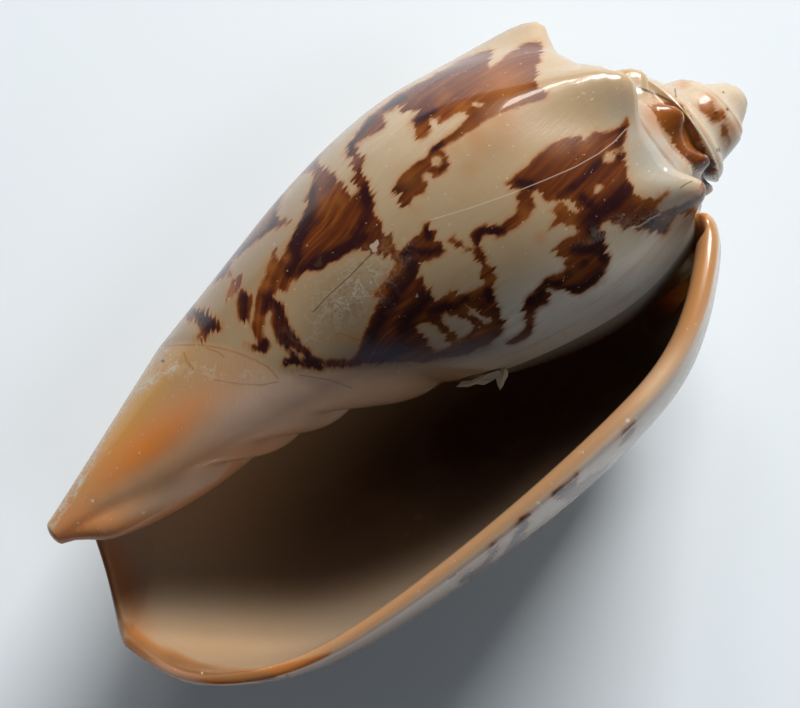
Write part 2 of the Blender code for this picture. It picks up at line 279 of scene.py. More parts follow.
def lip_edge(rows, steps):
    """The rounded edge: half a circle from outside to inside, in the plane across the edge."""
    age, row = np.zeros((1, len(rows))), rows[None]
    out, inn = outside(age, row)[0], outer_wall(age, row)[0]
    angle = margin_angle(rows)
    behind, beyond = [about_axis(at, *whorl(at, rows)) for at in (angle - 0.5, angle + 0.5)]
    ahead = beyond - behind
    ahead /= np.linalg.norm(ahead, axis=1)[:, None]
    along = np.gradient(out, axis=0)
    along /= np.linalg.norm(along, axis=1)[:, None]
    ahead -= (ahead * along).sum(1)[:, None] * along
    ahead /= np.linalg.norm(ahead, axis=1)[:, None]
    half, reach = (out - inn) / 2, np.linalg.norm(out - inn, axis=1)[:, None] / 2
    turn = (np.pi * np.arange(1, steps) / steps)[:, None, None]
    return inn + half + np.cos(turn) * half + np.sin(turn) * reach * ahead


def hollow_end(rows, deepest):
    """The blind end of the hollow, bulging back 12 degrees between the inner and the outer wall."""
    age, row = np.full((1, len(rows)), deepest), rows[None]
    inner, outer = inner_wall(age, row)[0], outer_wall(age, row)[0]
    share = (np.arange(1, 4) / 4)[:, None]
    angle = margin_angle(row) + deepest - 12.0 * np.sin(np.pi * share) * np.sin(np.pi * row / 2)
    near, far = [np.hypot(wall[:, 0], wall[:, 1])[None] for wall in (inner, outer)]
    high, low = [-wall[:, 2][None] for wall in (inner, outer)]
    return about_axis(angle, near + (far - near) * share, high + (low - high) * share)


# Shell wall
# One closed skin over outside, lip and hollow. Columns follow the growth lines and rows follow
# the outline, closest together on the side that carries the mouth.
lip_steps = 12


def stretches(*parts):
    """Numbers from each start to its end in so many equal steps, one stretch after another."""
    steps = [np.linspace(start, end, count + 1)[1:] for start, end, count in parts]
    return np.concatenate([[parts[0][0]], *steps])


columns = -stretches((0, 12, 8), (12, 192, 45), (192, 360, 200))
deep_columns = -stretches((0, 60, 20), (60, hollow_turn, 35))
rows = stretches((0, 0.16, 20), (0.16, 1, 115), (1, 1.6, 48), (1.6, 2, 12))


def patch(points, age, place, part):
    """A grid of points with its growth age, its place on the outline and its part: 0 outside, 1 and
    2 the hollow's inner and outer wall, 2 to 3 round the lip's edge, 3 the edge outside."""
    shape = points.shape[:2]
    return points, np.stack([np.broadcast_to(fact, shape) for fact in (age, place, part)], -1)


def shell_patches():
    """The loop round the last whorl (outside, hollow, lip), the spire's strip, the tip and the apex."""
    age, row = np.meshgrid(columns, rows, indexing="ij")
    deep, deep_row = np.meshgrid(deep_columns, rows, indexing="ij")
    row_line, lip_age = rows[None], np.zeros((1, len(rows)))
    around = [patch(outside(age, row), age, outer_place(age, row), 0.0),
              patch(inner_wall(deep, deep_row), deep - 360.0, inner_place(deep, deep_row), 1.0),
              patch(hollow_end(rows, deep_columns[-1]), deep_columns[-1] - 360.0, row_line, 1.0),
              patch(outer_wall(deep, deep_row)[::-1], deep[::-1], deep_row, 2.0),
              patch(lip_edge(rows, lip_steps)[::-1], lip_age, row_line,
                    2.0 + (np.arange(1, lip_steps) / lip_steps)[:, None]),
              patch(outside(lip_age, row_line), lip_age, outer_place(lip_age, row_line), 3.0)]
    spire_ages = np.concatenate([[0.0]] + [columns[1:] - 360.0 * turn for turn in range(turns)])
    age, up = np.meshgrid(spire_ages, np.linspace(1, 0, 13), indexing="ij")
    angle, place = lip_angles[0] + age, strip_edge(age) * (1 - up)
    spire = patch(about_axis(angle, *whorl(angle, place)), age, place, 0.0)
    angle, share = np.meshgrid(margin_angle(2.0) + columns, np.linspace(0, np.pi / 2, 7), indexing="ij")
    round_tip = about_axis(angle, tip_radius * np.cos(share),
                           tip_depth + (shell_length - tip_depth) * np.sin(share))
    tip = patch(round_tip, columns[:, None], 2.0, 0.0)
    angle, share = np.meshgrid(lip_angles[0] + columns, np.linspace(np.pi / 2, 0, 7), indexing="ij")
    round_apex = about_axis(angle, apex_radius * np.cos(share), apex_depth * (1 - np.sin(share)))
    cap = patch(round_apex, columns[:, None] - 360.0 * (turns - 1), 0.0, 0.0)
    loop = [np.concatenate(grids) for grids in zip(*around)]
    return [loop, spire, tip, cap]


rest_up, rest_middle = (-0.17, -0.984, -0.06), (-45.1286, -4.0439, -21.1059)


def lay_down(points):
    """From the shell's own axes to its rest on its back, in millimetres: +X to the apex, +Z up.
    What would be under the floor is worn away flat."""
    up = np.array(rest_up)
    up /= np.linalg.norm(up)
    apex = np.array((0.0, 0.0, 1.0)) - up[2] * up
    apex /= np.linalg.norm(apex)
    laid = points @ np.stack((apex, np.cross(up, apex), up), -1) - np.array(rest_middle)
    laid[..., 2] = np.maximum(laid[..., 2], 0.0)
    return laid


skins = [(lay_down(points), facts) for points, facts in shell_patches()]

# Markings
# Brown tents and streaks laid down in the outer layer as the shell grew. Those on the side with
# the mouth are drawn here on the front view, in units of 1/800 of its width, as corners one after
# the other, each across and down. The rest follow a rule: zigzag bands across the growth lines.
eye = np.array((-10.1719, -24.3548, 189.103))
eye_right = np.array((0.830281, -0.555469, -0.045694))
eye_up = np.array((0.555738, 0.818876, 0.143519))
eye_ahead = np.cross(eye_up, eye_right)
focal, middle_across, middle_down = 1539.9, 400.0, 354.0
mark_reach = 14.0
brown_outlines = [
    (187, 316, 190, 308, 198, 310, 209, 314, 216, 321, 221, 326, 220, 330, 214, 330, 210, 334, 207, 338,
     197, 338, 195, 336, 200, 332, 199, 326, 196, 320, 189, 319),
    (217, 280, 223, 267, 228, 257, 234, 248, 242, 236, 250, 226, 258, 216, 266, 207, 274, 196, 282, 188,
     290, 180, 298, 174, 306, 169, 311, 163, 314, 156, 320, 149, 328, 142, 331, 143, 323, 151, 318, 158,
     316, 166, 306, 172, 298, 176, 292, 182, 284, 192, 282, 198, 279, 206, 276, 213, 277, 219, 284, 219,
     288, 223, 280, 227, 272, 230, 264, 235, 256, 241, 250, 247, 242, 253, 234, 258, 231, 262, 229, 270,
     224, 277),
    (226, 299, 229, 290, 231, 282, 229, 276, 228, 270, 232, 272, 234, 278, 238, 278, 241, 282, 239, 288,
     234, 290, 231, 297, 228, 299),
    (238, 300, 239, 292, 242, 290, 246, 293, 251, 298, 253, 304, 251, 312, 250, 320, 246, 321, 241, 320,
     238, 314, 237, 306),
    (345, 158, 349, 151, 349, 144, 353, 138, 359, 131, 364, 125, 369, 118, 374, 114, 380, 109, 388, 103,
     396, 97, 402, 93, 408, 96, 404, 103, 396, 107, 388, 110, 381, 114, 382, 118, 385, 123, 384, 128,
     378, 132, 370, 135, 362, 139, 357, 144, 355, 150, 357, 155, 361, 161, 362, 170, 364, 178, 368, 186,
     372, 196, 375, 205, 375, 214, 380, 221, 382, 230, 389, 236, 394, 243, 398, 250, 398, 259, 390, 258,
     384, 254, 379, 252, 372, 252, 366, 250, 360, 249, 352, 250, 346, 254, 341, 258, 337, 262, 330, 262,
     323, 268, 315, 270, 308, 271, 303, 274, 298, 277, 294, 280, 290, 282, 288, 290, 283, 292, 277, 291,
     272, 297, 276, 300, 281, 303, 285, 310, 287, 318, 290, 326, 295, 333, 299, 340, 303, 346, 309, 350,
     314, 356, 320, 359, 326, 361, 333, 359, 340, 361, 350, 361, 356, 364, 340, 367, 332, 367, 326, 366,
     322, 370, 315, 370, 308, 368, 300, 366, 292, 364, 286, 366, 282, 365, 284, 360, 290, 359, 292, 354,
     286, 349, 282, 342, 279, 334, 277, 325, 277, 315, 272, 310, 266, 313, 263, 321, 262, 330, 263, 338,
     268, 340, 269, 346, 265, 352, 260, 350, 252, 349, 247, 346, 245, 344, 252, 345, 258, 346, 259, 341,
     255, 334, 252, 325, 253, 316, 254, 308, 256, 300, 260, 292, 262, 284, 266, 272, 269, 262, 274, 252,
     277, 258, 279, 262, 284, 254, 290, 243, 295, 233, 300, 222, 305, 211, 309, 203, 305, 201, 308, 194,
     312, 186, 315, 178, 314, 170, 315, 163, 319, 166, 325, 171, 333, 176, 340, 181, 344, 187, 346, 197,
     351, 198, 357, 192, 361, 187, 357, 183, 353, 180, 356, 173, 354, 167, 352, 163, 355, 160, 352, 155),
    (395, 258, 400, 252, 406, 246, 412, 239, 420, 236, 423, 231, 425, 225, 428, 224, 431, 230, 434, 235,
     437, 240, 440, 246, 444, 250, 440, 256, 434, 258, 430, 262, 422, 262, 418, 268, 419, 276, 422, 284,
     425, 289, 430, 293, 431, 299, 436, 300, 441, 299, 446, 296, 450, 292, 455, 293, 458, 297, 464, 296,
     470, 293, 477, 290, 482, 287, 486, 285, 486, 280, 482, 272, 480, 264, 479, 258, 474, 254, 466, 250,
     458, 245, 449, 241, 453, 238, 458, 241, 464, 245, 470, 248, 474, 247, 473, 240, 473, 234, 478, 228,
     484, 226, 490, 227, 495, 226, 501, 225, 507, 221, 513, 216, 517, 210, 518, 205, 521, 200, 519, 196,
     523, 191, 531, 192, 533, 200, 533, 207, 530, 214, 524, 221, 517, 227, 509, 231, 504, 236, 499, 238,
     493, 237, 487, 236, 482, 237, 481, 243, 481, 250, 484, 257, 488, 264, 490, 272, 492, 281, 493, 290,
     495, 300, 497, 308, 500, 316, 503, 325, 502, 332, 498, 336, 490, 344, 470, 352, 450, 358, 425, 361,
     400, 362, 380, 362, 366, 363, 357, 366, 340, 367, 333, 362, 340, 360, 350, 361, 356, 358, 359, 349,
     361, 341, 365, 331, 370, 321, 375, 311, 379, 302, 377, 294, 381, 285, 388, 276, 392, 268, 398, 262),
    (627, 119, 628, 125, 626, 131, 626, 138, 623, 146, 623, 155, 625, 163, 627, 172, 630, 180, 633, 187,
     635, 193, 641, 198, 648, 199, 655, 201, 661, 196, 668, 192, 663, 199, 658, 206, 654, 212, 662, 212,
     670, 210, 680, 206, 690, 201, 698, 196, 703, 196, 702, 201, 697, 207, 692, 214, 684, 213, 677, 214,
     672, 220, 668, 228, 664, 234, 659, 235, 652, 231, 645, 228, 636, 228, 628, 226, 620, 225, 612, 222,
     604, 222, 601, 227, 603, 234, 604, 242, 606, 251, 608, 258, 607, 266, 604, 273, 600, 280, 594, 286,
     586, 292, 580, 294, 573, 292, 565, 290, 556, 289, 548, 289, 549, 296, 547, 303, 540, 305, 535, 309,
     532, 316, 532, 324, 530, 332, 525, 338, 517, 342, 508, 343, 514, 338, 521, 334, 526, 327, 527, 319,
     525, 311, 525, 303, 529, 297, 536, 291, 539, 285, 544, 280, 551, 277, 558, 274, 564, 270, 568, 265,
     563, 262, 567, 258, 562, 254, 555, 249, 560, 244, 567, 239, 575, 234, 580, 230, 574, 226, 566, 226,
     560, 224, 553, 227, 549, 229, 552, 222, 557, 216, 553, 211, 557, 205, 563, 202, 567, 206, 570, 212,
     576, 214, 582, 212, 577, 206, 572, 201, 566, 198, 558, 198, 549, 199, 542, 196, 539, 191, 531, 190,
     521, 189, 512, 187, 509, 182, 514, 177, 521, 172, 527, 167, 533, 160, 540, 153, 548, 147, 556, 142,
     564, 139, 572, 137, 579, 138, 584, 141, 590, 137, 596, 134, 602, 134, 605, 139, 610, 136, 611, 131,
     616, 129, 621, 126, 624, 121),
    (394, 187, 398, 181, 403, 175, 409, 169, 415, 164, 422, 160, 428, 155, 431, 151, 437, 151, 443, 152,
     447, 158, 448, 165, 445, 172, 439, 175, 433, 174, 427, 172, 424, 175, 423, 181, 425, 188, 424, 194,
     418, 195, 412, 195, 411, 200, 409, 206, 404, 202, 400, 197, 397, 192),
    (400, 95, 396, 106, 401, 108, 405, 105, 404, 109, 411, 112, 418, 112, 413, 119, 409, 125, 416, 124,
     417, 130, 416, 137, 420, 139, 425, 137, 428, 131, 427, 123, 430, 118, 437, 117, 442, 113, 448, 110,
     441, 117, 440, 121, 447, 119, 454, 114, 461, 111, 468, 112, 472, 117, 466, 122, 458, 128, 451, 133,
     444, 138, 437, 142, 433, 147, 431, 152, 437, 152, 443, 147, 450, 143, 457, 139, 464, 134, 471, 130,
     478, 125, 486, 120, 494, 116, 502, 112, 512, 109, 522, 105, 532, 101, 541, 99, 549, 96, 543, 90,
     536, 86, 535, 76, 536, 66, 538, 58, 541, 50, 540, 42, 532, 41, 524, 44, 516, 50, 508, 56, 500, 62,
     492, 68, 486, 66, 490, 57, 491, 49, 480, 53, 470, 57, 460, 61, 448, 67, 436, 74, 424, 81, 412, 88),
    (458, 581, 462, 576, 470, 571, 480, 566, 488, 558, 493, 548, 498, 545, 496, 553, 491, 562, 485, 570,
     476, 576, 466, 581),
    (506, 553, 511, 542, 517, 531, 524, 520, 529, 517, 527, 527, 522, 538, 515, 549),
    (553, 497, 557, 491, 564, 488, 571, 484, 577, 478, 574, 487, 580, 485, 590, 478, 600, 470, 608, 465,
     601, 476, 591, 486, 581, 494, 571, 499, 560, 500),
    (620, 446, 625, 438, 630, 429, 635, 425, 633, 434, 627, 442),
    (273, 310, 281, 318, 285, 330, 289, 343, 281, 346, 275, 335, 272, 322),
    (651, 106, 660, 104, 672, 103, 680, 104, 686, 110, 691, 120, 696, 129, 700, 138, 704, 148, 707, 156,
     711, 157, 716, 163, 714, 172, 711, 181, 706, 192, 701, 205, 701, 195, 703, 183, 702, 172, 697, 168,
     691, 164, 685, 158, 678, 150, 672, 141, 668, 133, 662, 126, 657, 118),
    (699, 101, 704, 97, 709, 100, 712, 106, 716, 112, 721, 119, 718, 124, 711, 122, 705, 115, 700, 108),
    (722, 112, 726, 119, 727, 130, 730, 140, 727, 147, 724, 138, 722, 126)]
cream_outlines = [
    (416, 326, 421, 322, 428, 323, 436, 325, 441, 329, 446, 333, 450, 338, 450, 346, 444, 351, 436, 352,
     430, 350, 425, 344, 421, 335),
    (441, 315, 446, 312, 453, 314, 461, 317, 469, 320, 476, 324, 473, 330, 465, 336, 457, 341, 453, 334,
     447, 329, 442, 322),
    (465, 304, 472, 306, 480, 311, 488, 316, 492, 321, 485, 324, 477, 322, 470, 316),
    (603, 158, 606, 152, 612, 151, 616, 154, 614, 160, 608, 164, 603, 164),
    (593, 188, 598, 184, 604, 183, 606, 186, 600, 192, 596, 195, 593, 193),
    (430, 158, 436, 154, 441, 156, 442, 163, 438, 167, 431, 166),
    (469, 102, 476, 101, 486, 104, 480, 108, 473, 108),
    (288, 344, 294, 348, 302, 354, 305, 359, 299, 358, 293, 353)]
dark_strokes = [
    (5, 190, 311, 199, 313, 208, 320, 213, 326, 207, 331), (4, 219, 277, 226, 265, 232, 255, 241, 247),
    (3, 270, 229, 275, 220, 276, 211, 281, 200), (3, 243, 250, 256, 240, 265, 234),
    (3, 311, 163, 317, 155, 327, 143), (5, 244, 295, 245, 310, 246, 318),
    (4, 311, 187, 312, 198, 308, 208, 302, 220, 292, 244),
    (5, 314, 206, 306, 224, 298, 240, 296, 256, 290, 272),
    (6, 362, 236, 352, 244, 345, 250, 328, 258, 318, 264, 305, 271),
    (6, 366, 192, 369, 202, 368, 214, 362, 224, 356, 234), (3, 352, 140, 350, 147, 348, 155),
    (3, 353, 139, 360, 131, 368, 122, 374, 116), (3, 385, 108, 396, 101, 404, 97),
    (6, 268, 296, 276, 302, 282, 310, 284, 320, 281, 330, 284, 342, 292, 352, 302, 360, 316, 364),
    (5, 288, 322, 296, 336, 304, 346, 312, 356), (4, 286, 362, 300, 364, 318, 366), (5, 262, 348, 266, 343),
    (3, 266, 300, 263, 312),
    (8, 412, 262, 408, 275, 398, 288, 392, 300, 386, 310, 380, 318, 372, 332, 366, 346),
    (7, 426, 296, 418, 306, 408, 318, 402, 326), (4, 405, 256, 412, 250, 420, 252, 432, 252, 440, 250),
    (4, 430, 312, 440, 307, 455, 306, 466, 300), (3, 487, 290, 490, 300),
    (4, 480, 248, 478, 238, 482, 231, 492, 232, 502, 232), (4, 428, 230, 429, 237),
    (4, 560, 196, 575, 185, 590, 172, 600, 160), (4, 518, 182, 530, 184),
    (8, 588, 222, 600, 212, 612, 205, 622, 196, 630, 190), (6, 590, 225, 597, 238),
    (4, 601, 235, 600, 248, 603, 258), (3, 623, 128, 618, 148, 621, 156), (5, 583, 198, 590, 204),
    (6, 650, 222, 664, 229), (5, 575, 250, 590, 250, 600, 245), (3, 568, 274, 585, 262),
    (5, 529, 302, 538, 300, 542, 292), (3, 545, 283, 560, 284), (4, 562, 290, 578, 289, 590, 284, 600, 274),
    (4, 690, 202, 680, 208, 672, 214), (3, 708, 157, 711, 162, 707, 172), (4, 400, 190, 412, 184, 418, 178),
    (3, 440, 170, 446, 163), (3, 434, 148, 440, 144), (3, 414, 122, 424, 116, 434, 110),
    (3, 460, 578, 475, 571, 486, 561), (3, 512, 547, 520, 530), (4, 556, 494, 562, 494)]
amber_spots = [
    (500, 113, 22, 0.9), (475, 135, 16, 0.8), (455, 148, 10, 0.6), (462, 108, 9, 0.9), (437, 160, 6, 0.8),
    (418, 132, 8, 0.6), (416, 211, 9, 0.25), (270, 266, 8, 1.0), (264, 285, 7, 0.9), (255, 318, 6, 0.7),
    (286, 258, 5, 0.8), (232, 290, 7, 0.6), (192, 317, 4, 0.8), (201, 336, 5, 0.8), (356, 340, 9, 0.8),
    (338, 336, 6, 0.7), (396, 268, 8, 0.8), (380, 292, 7, 0.8), (388, 246, 8, 0.6), (452, 294, 7, 0.8),
    (468, 312, 8, 0.8), (486, 322, 8, 0.8), (455, 340, 12, 0.7), (480, 330, 9, 0.8), (540, 238, 6, 0.7),
    (566, 208, 8, 0.7), (570, 222, 8, 0.7), (585, 145, 12, 0.6), (560, 150, 14, 0.6), (524, 212, 7, 0.8),
    (640, 197, 8, 0.7), (652, 204, 7, 0.6), (660, 196, 5, 0.8), (575, 270, 8, 0.5), (655, 110, 7, 0.9),
    (672, 108, 8, 0.7), (683, 84, 6, 0.9), (705, 103, 7, 0.9), (726, 110, 5, 0.8), (722, 118, 5, 0.8),
    (733, 130, 5, 0.7), (470, 168, 9, 0.5), (325, 205, 12, 0.6), (340, 200, 8, 0.7), (444, 96, 10, 0.5),
    # The spot at 505, 86 is partly painted highlight: it lightens the brown where glints fall on the growth
    # ridges.
    (662, 116, 20, 1.4), (690, 138, 16, 1.2), (505, 86, 26, 1.2), (472, 76, 22, 0.3), (410, 178, 14, 0.7),
    (707, 104, 11, 1.6), (733, 128, 9, 1.3), (720, 112, 7, 1.2), (684, 84, 6, 1.0), (726, 140, 8, 1.0),
    (668, 150, 10, 0.6)]


def front_view(points):
    """Where points are seen from the front, across and down: the perspective from the eye."""
    ray = points - eye
    ahead = ray @ eye_ahead
    return np.stack([middle_across + focal * (ray @ eye_right) / ahead,
                     middle_down - focal * (ray @ eye_up) / ahead], -1)


def facing(points):
    """How squarely a grid faces the eye: 1 straight on, 0 edge on, negative when turned away. Its
    normal is the slope along the rows crossed with the slope along the columns."""
    normal = np.cross(np.gradient(points, axis=1), np.gradient(points, axis=0))
    normal = normal / np.maximum(np.linalg.norm(normal, axis=-1), 1e-12)[..., None]
    to_eye = eye - points
    return (normal * to_eye).sum(-1) / np.linalg.norm(to_eye, axis=-1)


def in_view(points):
    """1 where a grid faces the eye, fading to 0 where it is edge on."""
    return ease(facing(points) / 0.04)


def line_distance(seen, corners):
    """Distance in view units from each point to the nearest piece of a line through the corners."""
    corners = np.array(corners, float).reshape(-1, 2)
    start, piece = corners[:-1], np.diff(corners, axis=0)
    away = seen[..., None, :] - start
    share = np.clip((away * piece).sum(-1) / np.maximum((piece ** 2).sum(-1), 1e-9), 0, 1)
    return np.linalg.norm(away - share[..., None] * piece, axis=-1).min(-1)


def outline_depth(seen, corners, reach=mark_reach):
    """How deep each point lies inside a closed outline: distance to it, negative outside. A point
    is inside if a line to its right crosses the outline an odd number of times."""
    corners = np.array(corners, float).reshape(-1, 2)
    depth = np.full(seen.shape[:-1], -reach)
    near = ((seen > corners.min(0) - reach) & (seen < corners.max(0) + reach)).all(-1)
    spot = seen[near]
    if not len(spot):
        return depth
    ring = np.vstack([corners, corners[:1]])
    start, end = ring[:-1], ring[1:]
    x, y = spot[:, :1], spot[:, 1:]
    level = (start[:, 1] > y) != (end[:, 1] > y)
    drop = np.where(end[:, 1] == start[:, 1], 1e-9, end[:, 1] - start[:, 1])
    cross = start[:, 0] + (y - start[:, 1]) / drop * (end[:, 0] - start[:, 0])
    inside = (level & (x < cross)).sum(1) % 2 == 1
    away = np.minimum(line_distance(spot, ring), reach)
    depth[near] = np.where(inside, away, -away)
    return depth


def zigzag(x):
    """A wave of straight slopes between -1 and 1, once every unit of x."""
    return 4 * np.abs(x - np.floor(x + 0.5)) - 1


def ruled_bands(age, place):
    """Depth inside the zigzag bands of the unseen side: each band follows a growth line, swings
    across it by two zigzags, and swells and thins along its length."""
    depth = np.full(age.shape, -mark_reach)
    for band in range(int(turns * 11)):
        middle = -14.0 - 33.0 * band
        middle = middle + 11 * zigzag(2.3 * place + 0.37 * band) + 6 * zigzag(6.1 * place + 0.61 * band)
        half = 5.0 + 5.0 * zigzag(1.7 * place + 0.29 * band) + 2.5 * zigzag(7.3 * place + 0.83 * band)
        depth = np.maximum(depth, (half - np.abs(age - middle)) * 2.6)
    ends = np.minimum(place - 0.02, 0.90 - place) * 120.0
    return np.clip(np.minimum(depth, ends), -mark_reach, mark_reach)


def soft_line(seen, half, corners):
    """1 on a line through the corners, fading to 0 over three units round its half width."""
    return 1 - ease((line_distance(seen, corners) - half + 1.5) / 3.0)


def soft_spot(seen, middle, reach, lean):
    """A bell-shaped spot with a long and a short reach, its long side turned down by lean degrees."""
    turn = np.radians(lean)
    away = seen - np.array(middle, float)
    along = away[..., 0] * np.cos(turn) + away[..., 1] * np.sin(turn)
    across = -away[..., 0] * np.sin(turn) + away[..., 1] * np.cos(turn)
    return np.exp(-(along / reach[0]) ** 2 - (across / reach[1]) ** 2)


def along_share(points, depth):
    """How squarely an edge crosses the growth lines: the slope of the depth along the rows, which
    is 1 where the edge lies across them and 0 where it follows them."""
    seen = front_view(points)
    step = np.maximum(np.linalg.norm(np.gradient(seen, axis=1), axis=-1), 0.3)
    return np.clip(np.abs(np.gradient(depth, axis=1)) / step, 0, 1) ** 2


def markings(points, facts):
    """Four fields over a grid: depth inside the brown, darkness, amber glow and ragged ends. The
    drawn marks count where the grid is in view, and the ruled ones elsewhere. Both are only on
    the outside and on the outer side of the lip's edge. A dark stroke is given by its half width
    and corners, and an amber spot by its place, size and strength."""
    seen, drawn, part = front_view(points), in_view(points), facts[..., 2]
    outer = (part < 0.5) | (part > 2.6)
    depth = np.max([outline_depth(seen, corners) for corners in brown_outlines], 0)
    for corners in cream_outlines:
        depth = np.minimum(depth, -outline_depth(seen, corners))
    brown = drawn * depth + (1 - drawn) * ruled_bands(facts[..., 0], facts[..., 1])
    dark = np.max([np.exp(-(line_distance(seen, line) / (1.15 * half)) ** 2)
                   for half, *line in dark_strokes], 0)
    amber = np.max([strength * np.exp(-((seen - (x, y)) ** 2).sum(-1) / size ** 2)
                    for x, y, size, strength in amber_spots], 0)
    calm = np.maximum(soft_spot(seen, (330, 360), (130, 34), -4), soft_spot(seen, (692, 128), (70, 60), 45))
    ragged = along_share(points, brown) * (1 - 0.9 * calm)
    return {"brown": np.where(outer, brown + 3.0 * (part > 2.6), -mark_reach), "dark": dark * drawn * outer,
            "amber": amber * drawn * outer, "ragged": ragged * outer}


# Ground colours
# Cream outside, a peach and orange callus over the pillar, an orange lip, and a pale hollow
# with painted shade that makes it browner and darker inwards. Other areas are painted light and
# shade too: pale grey and peach where the body and pillar lie in shade, duller grey, tan and a
# deeper orange where they catch too much light or reflection, and a highlight along the rim.
# The colours run into each other, so each is a soft area over the last.
cream, painted_fill_grey, peach = (0.425, 0.31, 0.185), (0.86, 0.84, 0.78), (0.42, 0.275, 0.155)
orange, straw, pink = (0.72, 0.24, 0.045), (0.52, 0.275, 0.06), (0.78, 0.57, 0.45)
painted_light_peach, pale_cream, spire_white = (0.86, 0.52, 0.30), (0.55, 0.44, 0.31), (0.56, 0.48, 0.37)
tan_dimming_reflection, painted_shade_grey, edge_brown = (0.33, 0.20, 0.10), (0.25, 0.18, 0.105), (0.20, 0.10, 0.045)
lip_white, painted_rim_highlight, slope_grey = (0.66, 0.57, 0.49), (0.72, 0.52, 0.34), (0.35, 0.34, 0.295)
lip_orange, inner_cream, inner_brown = (0.40, 0.225, 0.115), (0.36, 0.285, 0.205), (0.44, 0.27, 0.14)
painted_inner_shade, orange_dimming_reflection, lip_brown = (0.05, 0.018, 0.014), (0.45, 0.20, 0.06), (0.34, 0.13, 0.034)
callus_outline = (30, 560, 60, 500, 80, 465, 110, 410, 135, 372, 160, 346, 180, 342, 205, 342, 225, 345,
                  245, 352, 262, 362, 280, 374, 300, 372, 330, 370, 360, 369, 385, 367, 405, 364, 430, 365,
                  455, 368, 480, 369, 505, 372, 520, 380, 500, 430, 430, 430, 350, 450, 240, 490, 200, 520,
                  60, 580)
crust_line = (178, 366, 160, 374, 145, 385, 133, 392, 125, 402, 114, 414, 107, 427, 98, 444, 90, 460,
              80, 480, 70, 498, 58, 514, 48, 530)
crust_edge = (168, 350, 150, 364, 132, 386, 117, 406, 104, 426, 92, 446, 80, 468, 66, 492, 52, 518)
notch_line = (98, 541, 103, 565, 108, 590, 117, 617, 127, 638, 150, 653, 185, 667, 222, 676, 270, 677)
lip_front_line = (128, 632, 150, 650, 185, 668, 222, 677, 262, 679, 330, 662)
callus_streak = (110, 530, 170, 512, 220, 485, 238, 464)
scuffed = [((610, 228), (28, 8), -25, 0.3), ((352, 292), (52, 20), -42, 0.5),
           ((650, 218), (14, 5), -25, 0.4), ((205, 372), (60, 8), 4, 0.45)]


def ground(points, facts):
    """Colour over a grid: each soft area is mixed over the colours before it by its mask. The
    hollow's near wall is the one on the pillar, and its far wall the one behind the lip."""
    seen, age, place, part = front_view(points), facts[..., 0], facts[..., 1], facts[..., 2]
    front = ease((facing(points) + 0.05) / 0.15)
    callus = front * ease((outline_depth(seen, callus_outline, 40.0) + 2) / 4)
    callus = callus + (1 - front) * ease((place - 0.90) / 0.05)
    rim = (part > 2.05) * ease((2.85 - part) / 0.30)
    outer_rim = (part > 2.05) * (1 - rim) + (part < 0.5) * ease(1 + age / 14.0)
    near_wall, far_wall = (part == 1.0) * 1.0, (part == 2.0) * 1.0
    far_edge = far_wall * ease(1 + age / 3.0) * ease((1.02 - place) / 0.03)
    around_edge = (part > 2.05) * (part < 2.9) * ease(1 + age / 9.0)

    def spot(*place_and_reach):
        """A soft spot of this grid."""
        return soft_spot(seen, *place_and_reach)

    # Tan on the upper body, partly painted shade that dims the window's broad reflection there.
    areas = [(tan_dimming_reflection, 0.75 * spot((495, 140), (50, 20), -32)),
             # Duller grey on the lower body and the left side: painted shade where these surfaces catch too
             # much light.
             (painted_shade_grey, spot((345, 305), (50, 36), -40)),
             (painted_shade_grey, 0.8 * spot((235, 270), (200, 55), -50)),
             (pale_cream, 0.8 * spot((430, 118), (130, 44), -36)),
             (spire_white, spot((712, 112), (62, 46), 60)),
             (slope_grey, spot((652, 152), (55, 24), 60)),
             # Pale cool grey on the body beside the mouth: painted fill light where the body lies in shade.
             (painted_fill_grey, 0.9 * spot((640, 290), (110, 50), -25)),
             (painted_fill_grey, 0.9 * spot((530, 325), (90, 34), -20)),
             (peach, callus),
             (pink, callus * spot((258, 428), (95, 34), -25)),
             (pink, callus * spot((185, 480), (60, 22), -28)),
             # This pink spot is also painted light on the pillar's lobes that face down into shade.
             (pink, callus * spot((325, 402), (95, 28), -8)),
             (straw, callus * spot((128, 415), (75, 20), -52)),
             (orange, callus * spot((145, 452), (80, 24), -40)),
             (orange, callus * spot((92, 519), (50, 15), -25)),
             # Bright peach along the pillar's valley: painted light that cancels the valley's shade.
             (painted_light_peach, 0.9 * callus * spot((155, 478), (85, 13), -30)),
             (orange, 0.4 * callus * soft_line(seen, 5, callus_streak)),
             (orange, 0.4 * callus * spot((250, 450), (62, 11), -14)),
             # Browner further into the hollow on its near wall: painted shade.
             (inner_brown, near_wall * ease((-362.0 - age) / 14.0)),
             (inner_cream, far_wall),
             # Browner further into the hollow on its far wall: painted shade.
             (inner_brown, far_wall * ease((-age - 15.0) / 90.0)),
             (inner_brown, 0.6 * far_wall * spot((220, 650), (130, 34), 8)),
             # Near black deep in the mouth: painted shade of the hollow.
             (painted_inner_shade, (near_wall + far_wall) * spot((520, 415), (260, 76), -27)),
             (slope_grey, 0.6 * far_wall * spot((682, 298), (70, 16), -78)),
             (lip_white, 0.85 * outer_rim),
             (lip_orange, np.clip(rim + far_edge, 0, 1)),
             (lip_brown, 0.7 * far_wall * spot((124, 588), (70, 18), 72)),
             (lip_brown, (part > 1.9) * (part < 2.8) * soft_line(seen, 9, lip_front_line)),
             (edge_brown, 0.7 * (part > 1.8) * soft_line(seen, 5, notch_line)),
             # Light band along the rim's crest: a painted highlight.
             (painted_rim_highlight, 0.8 * rim * spot((668, 372), (55, 10), -52)),
             # The lip's upper end in a deeper orange, partly painted shade that dims the window's
             # reflection there.
             (orange_dimming_reflection, around_edge * spot((705, 262), (90, 30), 100))]
    colour = np.ones(points.shape) * cream
    for tint, mask in areas:
        colour = colour + (np.array(tint) - colour) * mask[..., None]
    return colour


